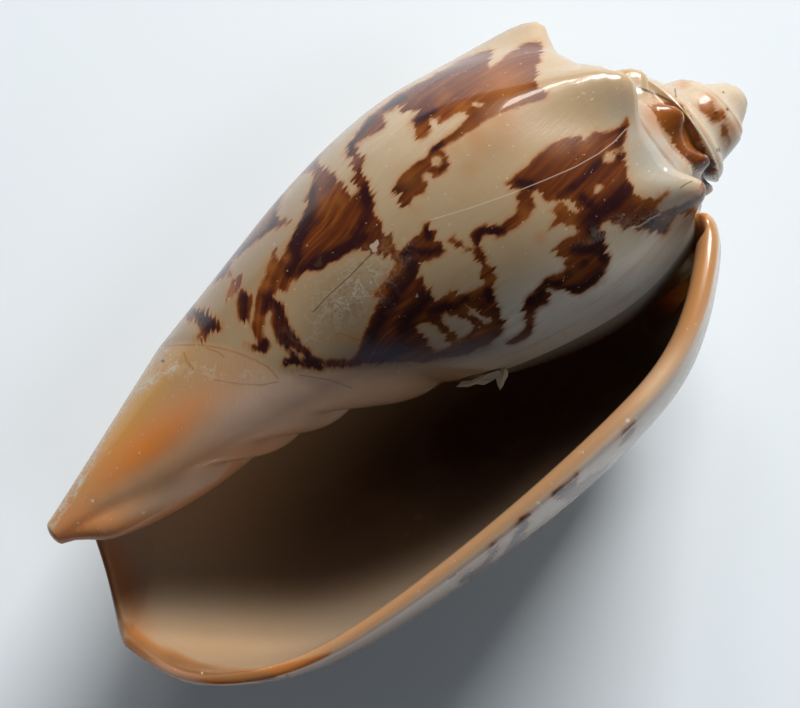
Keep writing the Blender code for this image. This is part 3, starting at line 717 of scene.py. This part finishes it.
def layers(points, facts):
    """Four masks: the thin bluish glaze over the marks beside the pillar, the whitish crust along
    the callus on the left, the outside that faces the front view, and where growth lines show."""
    seen, part = front_view(points), facts[..., 2]
    front = in_view(points) * ((part < 0.5) | (part > 2.05))
    glaze = np.maximum(soft_spot(seen, (395, 358), (52, 15), 0), soft_spot(seen, (465, 352), (62, 12), -12))
    crust = np.maximum(soft_line(seen, 4, crust_line), soft_line(seen, 3, crust_edge) * 0.8)
    for middle, reach, lean, strength in scuffed:
        crust = np.maximum(crust, soft_spot(seen, middle, reach, lean) * strength)
    off_callus = ease(-outline_depth(seen, callus_outline, 40.0) / 4)
    lined = (part < 0.5) * ((1 - front) * ease((0.90 - facts[..., 1]) / 0.05) + front * off_callus)
    return {"glaze": glaze * front, "crust": crust * front, "front": front, "lined": lined}


def close_up(mesh):
    """Weld the corners that meet, and turn all faces outward."""
    shape = bmesh.new()
    shape.from_mesh(mesh)
    bmesh.ops.remove_doubles(shape, verts=shape.verts, dist=2e-6)
    bmesh.ops.recalc_face_normals(shape, faces=shape.faces)
    shape.to_mesh(mesh)
    shape.free()


def add_object(name, contents):
    """An object with this mesh, light or camera, in the scene."""
    made = bpy.data.objects.new(name, contents)
    bpy.context.scene.collection.objects.link(made)
    return made


def skin_mesh(name, skins):
    """One mesh from the grids: four corners a face, each with its fields, welded where grids meet."""
    corners, starts = [], 0
    for points, _ in skins:
        index = starts + np.arange(points.shape[0] * points.shape[1]).reshape(points.shape[:2])
        face = np.stack([index[:-1, :-1], index[:-1, 1:], index[1:, 1:], index[1:, :-1]], -1)
        corners.append(face.reshape(-1, 4))
        starts += index.size
    corners = np.concatenate(corners)
    flat = corners.ravel()
    places = np.concatenate([points.reshape(-1, 3) for points, _ in skins]) * 0.001
    facts = np.concatenate([facts.reshape(-1, 3) for _, facts in skins])
    mesh = bpy.data.meshes.new(name)
    mesh.from_pydata(places.tolist(), [], corners.tolist())
    grown = mesh.uv_layers.new(name="grown")
    turn_and_place = np.stack([facts[flat, 0] / 360.0, facts[flat, 1]], -1)
    grown.uv.foreach_set("vector", turn_and_place.astype(np.float32).ravel())
    fields = [{**markings(*skin), **layers(*skin)} for skin in skins]
    for label in fields[0]:
        values = np.concatenate([grid[label].ravel() for grid in fields])[flat]
        mesh.attributes.new(label, "FLOAT", "CORNER").data.foreach_set("value", values.astype(np.float32))
    colour = np.concatenate([ground(*skin).reshape(-1, 3) for skin in skins])
    tint = np.concatenate([colour, np.ones((len(colour), 1))], 1)[flat].astype(np.float32).ravel()
    mesh.attributes.new("ground", "FLOAT_COLOR", "CORNER").data.foreach_set("color", tint)
    close_up(mesh)
    mesh.shade_smooth()
    return mesh


volute = add_object("volute_shell", skin_mesh("volute_shell", skins))
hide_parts("shell")
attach(volute, "root")

# Shell finish
# Glassy outer layer over the colours. Fine growth lines run from the shoulder to the front end,
# and the brown breaks up into streaks along them.
enamel = bpy.data.materials.new("shell enamel")
enamel.use_nodes = True
tree = enamel.node_tree
surface = tree.nodes["Principled BSDF"]


def node(kind, inputs, **settings):
    """A node in the shell's material. Inputs, by name or number, are values or outputs of others."""
    made = tree.nodes.new("ShaderNode" + kind)
    for name, value in settings.items():
        setattr(made, name, value)
    for name, value in inputs.items():
        if isinstance(value, bpy.types.NodeSocket):
            tree.links.new(value, made.inputs[name])
        else:
            made.inputs[name].default_value = value
    return made


def maths(operation, a, b=0.0, c=0.0):
    """The output of a Math node on up to three values."""
    return node("Math", {0: a, 1: b, 2: c}, operation=operation).outputs[0]


def vectors(operation, first, second, output="Value"):
    """An output of a Vector Math node on two vectors."""
    return node("VectorMath", {0: first, 1: second}, operation=operation).outputs[output]


def times(a, b):
    """The product of two values."""
    return maths("MULTIPLY", a, b)


def times_add(a, b, c):
    """The product of two values, plus a third."""
    return maths("MULTIPLY_ADD", a, b, c)


def highest(masks):
    """The highest of several values."""
    top = masks[0]
    for mask in masks[1:]:
        top = maths("MAXIMUM", top, mask)
    return top


def smooth(value, low, high):
    """0 below low and 1 above high, with a smooth step between."""
    ends = {"Value": value, "From Min": low, "From Max": high}
    return node("MapRange", ends, interpolation_type="SMOOTHSTEP").outputs["Result"]


def blend(share, first, second):
    """The colour that share of the way from first to second."""
    return node("Mix", {0: share, 6: first, 7: second}, data_type="RGBA").outputs[2]


def over(tone, mask, amount, colour):
    """The tone with a colour laid over it, as far as the mask times an amount."""
    return blend(times(mask, amount), tone, (*colour, 1.0))


def field(label, output="Fac"):
    """One of the shell's own fields."""
    return node("Attribute", {}, attribute_name=label).outputs[output]


def noise(place, scale, detail=3.0, roughness=0.6):
    """Soft noise between 0 and 1 at a place."""
    settings = {"Vector": place, "Scale": scale, "Detail": detail, "Roughness": roughness}
    return node("TexNoise", settings).outputs["Fac"]


body_place = node("TexCoord", {}).outputs["Object"]
ray = vectors("SUBTRACT", body_place, eye * 0.001, "Vector")
ray_parts = [vectors("DOT_PRODUCT", ray, axis) for axis in (eye_right, -eye_up, eye_ahead)]
view_across, view_down = [times_add(maths("DIVIDE", part, ray_parts[2]), focal, middle)
                          for part, middle in zip(ray_parts, (middle_across, middle_down))]
view_place = node("CombineXYZ", {"X": view_across, "Y": view_down}).outputs[0]
grown = node("UVMap", {}, uv_map="grown").outputs["UV"]
turn_share, down_share = node("SeparateXYZ", {"Vector": grown}).outputs[:2]


def growth_noise(lines_per_turn, down, detail):
    """Noise stretched along the growth lines: fine round the turn and long down the whorl."""
    place = {"X": times(turn_share, lines_per_turn), "Y": times(down_share, down)}
    return noise(node("CombineXYZ", place).outputs[0], 1.0, detail)


streaks, broad = growth_noise(190.0, 7.0, 4.0), growth_noise(90.0, 5.0, 2.0)
fine, frays = growth_noise(900.0, 30.0, 2.0), growth_noise(190.0, 9.0, 2.0)
clouds, bays = noise(body_place, 110.0, 3.0, 0.55), noise(body_place, 620.0, 3.0, 0.5)

ragged_reach = times_add(field("ragged"), 25.0, 3.0)
brown_depth = times_add(maths("SUBTRACT", frays, 0.46), ragged_reach, field("brown"))
brown_depth = times_add(maths("SUBTRACT", bays, 0.42), 7.5, brown_depth)
fringe = times(smooth(brown_depth, -5.5, 0.0), 0.42)
streak_tone = times_add(broad, 0.55, times(streaks, 0.75))
uneven_dark = times(field("dark"), times_add(bays, 1.1, 0.30))
deep_share = times_add(smooth(streak_tone, 0.46, 0.90), 0.60, uneven_dark)
deep_share = times_add(smooth(clouds, 0.46, 0.66), 0.30, deep_share)
deep_share = maths("MINIMUM", times(deep_share, smooth(brown_depth, -1.0, 3.5)), 1.0)
light_share = times(smooth(streak_tone, 0.72, 0.46), smooth(field("dark"), 0.6, 0.1))

cloud_tan, line_tan, line_brown = (0.34, 0.235, 0.13), (0.40, 0.26, 0.13), (0.30, 0.21, 0.12)
fringe_amber, brown_amber, glaze_blue = (0.42, 0.17, 0.04), (0.34, 0.12, 0.02), (0.11, 0.15, 0.22)
mid_brown, light_brown, deep_brown = (0.16, 0.038, 0.007), (0.235, 0.068, 0.014), (0.034, 0.009, 0.009)
crust_white, scratch_pale, scratch_and_crease_shade_dark = (0.50, 0.46, 0.38), (0.62, 0.54, 0.43), (0.05, 0.026, 0.018)
crack_and_ridge_shade_brown, grain_pale, dust_pale = (0.26, 0.11, 0.035), (0.70, 0.66, 0.58), (0.66, 0.60, 0.50)
speck_dark, chip_pale = (0.06, 0.034, 0.022), (0.52, 0.40, 0.31)
lined = times(field("lined"), 0.30)
tone = over(field("ground", "Color"), smooth(clouds, 0.40, 0.75), 0.25, cloud_tan)
tone = over(tone, smooth(broad, 0.50, 0.78), lined, line_tan)
tone = over(tone, smooth(fine, 0.50, 0.80), times(lined, 0.6), line_brown)
tone = blend(maths("MAXIMUM", times(field("amber"), 0.6), fringe), tone, (*fringe_amber, 1.0))
brown_tone = blend(light_share, (*mid_brown, 1.0), (*light_brown, 1.0))
brown_tone = blend(deep_share, brown_tone, (*deep_brown, 1.0))
brown_tone = over(brown_tone, field("amber"), 0.6, brown_amber)
tone = blend(smooth(brown_depth, -1.6, 1.9), tone, brown_tone)
tone = over(tone, field("glaze"), 0.62, glaze_blue)
wisp_noise, crumb_noise = noise(body_place, 360.0, 5.0, 0.65), noise(body_place, 650.0)
wisps = smooth(maths("ABSOLUTE", maths("SUBTRACT", wisp_noise, 0.5)), 0.045, 0.0)
crusted = times(field("crust"), times_add(smooth(crumb_noise, 0.46, 0.60), 0.40, wisps))
tone = over(tone, crusted, 0.75, crust_white)

pale_lines = [
    (0.45, 430, 220, 470, 208, 510, 194, 545, 180, 575, 167, 598, 154, 614, 142, 626, 129),
    (0.4, 598, 472, 612, 458, 622, 448, 632, 441, 640, 432, 650, 420, 660, 408),
    (0.4, 604, 475, 616, 462, 626, 455, 634, 446, 646, 440, 652, 432, 660, 420),
    (1.0, 424, 391, 440, 386, 455, 382, 462, 380),
    (0.6, 568, 357, 582, 358),
    (0.9, 632, 228, 640, 226, 650, 219, 660, 214),
    (0.6, 684, 107, 700, 135, 708, 150, 712, 158)]
dark_lines = [
    (0.55, 373, 252, 350, 276, 330, 294, 313, 312),
    (0.9, 445, 385, 472, 376, 500, 369),
    (0.6, 449, 579, 456, 574),
    # The next two lines are painted shadow in the crease of the suture beside the spire.
    (0.8, 675, 89, 676, 97),
    (1.1, 640, 88, 658, 95, 672, 102),
    (0.5, 680, 188, 686, 184, 692, 181)]
brown_lines = [
    # The first line follows the ridge at the callus's edge: painted shade of that ridge.
    (1.2, 163, 346, 180, 345, 200, 345, 215, 347, 235, 352, 255, 360, 268, 367, 278, 378),
    (1.0, 206, 348, 218, 352, 224, 357),
    (1.2, 184, 353, 187, 361, 193, 369),
    (0.8, 215, 380, 240, 384, 262, 385, 278, 382),
    (0.7, 300, 375, 330, 380, 352, 388),
    (0.8, 334, 332, 345, 335, 357, 340, 366, 341)]
pale_specks = [(539, 503, 2.6), (628, 420, 1.8), (637, 418, 1.6), (202, 673, 0.9), (93, 501, 1.5),
               (143, 513, 1.5), (78, 523, 1.5), (666, 170, 1.6)]
dark_specks = [(268, 682, 2.0), (288, 677, 1.6), (304, 587, 1.6), (163, 361, 1.4), (321, 263, 4.5),
               (727, 109, 2.2), (719, 150, 1.8), (723, 92, 1.5), (716, 113, 1.5)]
chip = [(371, 246, 3.0), (376, 244, 2.4), (374, 249, 1.8)]
grit = noise(body_place, 1100.0, 1.0)


def drawn_lines(lines):
    """1 on lines of the front view, each a half width and then its corners, and 0 a little off."""
    near = []
    for half, *line in lines:
        corners = np.array(line, float).reshape(-1, 2)
        for start, end in zip(corners[:-1], corners[1:]):
            piece = np.array([*(end - start), 0.0])
            away = vectors("SUBTRACT", view_place, (*start, 0.0), "Vector")
            share = vectors("DOT_PRODUCT", away, piece / (piece @ piece))
            share = node("Clamp", {"Value": share}).outputs[0]
            foot = node("VectorMath", {0: piece, "Scale": share}, operation="SCALE").outputs[0]
            near.append(smooth(vectors("DISTANCE", away, foot), half + 0.5, half - 0.5))
    return times(highest(near), field("front"))


def drawn_spots(spots):
    """1 on small spots of the front view, each given by its place and radius, with uneven edges."""
    near = []
    for across, down, half in spots:
        distance = vectors("DISTANCE", view_place, (across, down, 0.0))
        distance = times_add(maths("SUBTRACT", grit, 0.5), 4.0 * half, distance)
        near.append(smooth(distance, half + 0.6, half - 0.6))
    return times(highest(near), field("front"))


tone = over(tone, drawn_lines(pale_lines), 0.6, scratch_pale)
# Dark scratches, and painted shadow in the suture's crease.
tone = over(tone, drawn_lines(dark_lines), 0.75, scratch_and_crease_shade_dark)
# Brown cracks, and painted shade of the ridge at the callus's edge.
tone = over(tone, drawn_lines(brown_lines), times_add(bays, 0.5, 0.1), crack_and_ridge_shade_brown)
tone = over(tone, drawn_spots(pale_specks), 0.8, grain_pale)
dust = times(smooth(noise(body_place, 2100.0, 1.0), 0.72, 0.78), field("front"))
tone = over(tone, dust, 0.45, dust_pale)
tone = over(tone, drawn_spots(dark_specks), 0.8, speck_dark)
tone = over(tone, drawn_spots(chip), 0.9, chip_pale)
tree.links.new(tone, surface.inputs["Base Color"])

roughness = maths("ADD", times_add(clouds, 0.10, 0.20), times(crusted, 0.4))
tree.links.new(roughness, surface.inputs["Roughness"])
for name, value in (("Subsurface Weight", 0.35), ("Subsurface Scale", 0.004),
                    ("Subsurface Radius", (1.0, 0.6, 0.35)), ("Specular IOR Level", 0.3),
                    ("Coat Weight", 0.42), ("Coat Roughness", 0.05)):
    surface.inputs[name].default_value = value
relief = times_add(crusted, 1.5, times_add(fine, 0.5, streaks))
ridges = node("Bump", {"Strength": 0.25, "Distance": 0.0001, "Height": relief}).outputs["Normal"]
tree.links.new(ridges, surface.inputs["Normal"])
volute.data.materials.append(enamel)

# Callus flakes
# Two thin chips of the callus that have lifted from its edge above the mouth. They are the same
# glossy layer, drawn on the front view and set just in front of the edge they came from.
flake_outlines = [
    (456, 387, 462, 381, 470, 381, 480, 376, 490, 373, 500, 370, 498, 377, 492, 381, 484, 385, 476, 384,
     468, 387),
    (500, 371, 505, 368, 508, 371, 508, 376, 505, 381, 503, 386, 500, 390, 498, 386, 496, 379)]
flake_lift, flake_thickness, flake_bulge, edge_reach = 0.35, 0.16, 0.1, 1.5


def sight_line(spot):
    """The direction from the eye through a spot of the front view, 1 long along the view's axis."""
    across, down = (spot[0] - middle_across) / focal, (middle_down - spot[1]) / focal
    return eye_ahead + across * eye_right + down * eye_up


def flake_mesh(outline):
    """A closed chip: a ring of corners in front and one behind, each with a middle point. A
    corner over the open mouth lies as deep as the nearest corner that has the callus behind it."""
    outline = np.array(outline, float).reshape(-1, 2)
    skin = skins[0][0][:len(columns)].reshape(-1, 3)
    seen = front_view(skin)
    nearest = np.array([skin[((seen - spot) ** 2).sum(-1).argmin()] for spot in outline])
    depths = (nearest - eye) @ eye_ahead
    held = depths < depths.min() + edge_reach
    away = np.linalg.norm(outline[:, None] - outline[held], axis=-1)
    depths = depths[held][away.argmin(1)]
    ring = np.array([eye + (depth - flake_lift) * sight_line(spot) for spot, depth in zip(outline, depths)])
    back = ring + flake_thickness * eye_ahead
    middles = np.array([ring.mean(0) - flake_bulge * eye_ahead, back.mean(0)])
    count = len(ring)
    turn = [(i, (i + 1) % count) for i in range(count)]
    faces = [(i, j, 2 * count) for i, j in turn] + [(count + j, count + i, 2 * count + 1) for i, j in turn]
    faces += [(j, i, count + i, count + j) for i, j in turn]
    mesh = bpy.data.meshes.new("callus_flake")
    mesh.from_pydata((np.concatenate([ring, back, middles]) * 0.001).tolist(), [], faces)
    close_up(mesh)
    return mesh


def plain_material(name, colour, roughness):
    """A material of one colour."""
    made = bpy.data.materials.new(name)
    made.use_nodes = True
    made.node_tree.nodes["Principled BSDF"].inputs["Base Color"].default_value = (*colour, 1.0)
    made.node_tree.nodes["Principled BSDF"].inputs["Roughness"].default_value = roughness
    return made


callus_layer = plain_material("callus flake", (0.52, 0.41, 0.30), 0.35)
for outline_drawn in flake_outlines:
    flake = add_object("callus_flake", flake_mesh(outline_drawn))
    flake.data.materials.append(callus_layer)
    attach(flake, "root")

# Floor
# A sheet of plain white paper on a table, larger than the view.
half = 1.5
paper_corners = [(-half, -half, 0), (half, -half, 0), (half, half, 0), (-half, half, 0)]
paper_mesh = bpy.data.meshes.new("paper")
paper_mesh.from_pydata(paper_corners, [], [(0, 1, 2, 3)])
paper = add_object("paper", paper_mesh)
paper.data.materials.append(plain_material("white paper", (0.79, 0.845, 0.89), 0.9))

# Light
# One large window behind the shell, up in the picture, the part of a pale ceiling that it
# lights, a bright gap beside it, a pale wall behind the viewer, and the dim room round them.
room = bpy.data.worlds.new("room")
room.use_nodes = True
room.node_tree.nodes["Background"].inputs["Color"].default_value = (0.80, 0.88, 1.0, 1.0)
room.node_tree.nodes["Background"].inputs["Strength"].default_value = 0.025
bpy.context.scene.world = room
bpy.context.scene.view_settings.view_transform = "Standard"
bpy.context.scene.view_settings.gamma = 0.95


def area_light(name, place, size, watts, colour, glossy):
    """A light with this width and height, turned from its place to the shell. One that isn't
    glossy is left out of the reflections in the shell."""
    light = bpy.data.lights.new(name, "AREA")
    light.shape = "RECTANGLE"
    light.size, light.size_y = size
    light.energy = watts
    light.color = colour
    holder = add_object(name, light)
    holder.visible_glossy = glossy
    place = Vector(place)
    holder.matrix_world = Matrix.Translation(place) @ place.to_track_quat("Z", "Y").to_matrix().to_4x4()


area_light("window", (0.80, 0.59, 0.66), (0.62, 0.40), 21.5, (1.0, 0.99, 0.97), True)
area_light("pale ceiling", (0.25, 0.29, 0.98), (0.7, 0.7), 0.35, (0.86, 0.93, 1.0), False)
area_light("bright gap", (0.50, 0.92, 0.58), (0.15, 0.15), 1.6, (1.0, 0.97, 0.92), True)
area_light("pale wall", (0.29, -0.58, 0.96), (0.5, 0.34), 1.5, (0.84, 0.92, 1.0), False)

# Camera
# It looks down on the shell from 19 cm above, 9 degrees off the vertical.
lens = bpy.data.cameras.new("camera")
lens.lens, lens.sensor_width = 69.295, 36.0
lens.clip_start = 0.01
camera = add_object("camera", lens)
camera.location = (-0.0101719, -0.0243548, 0.189103)
camera.rotation_euler = np.radians((8.2602, 2.619, -33.7831))
bpy.context.scene.camera = camera
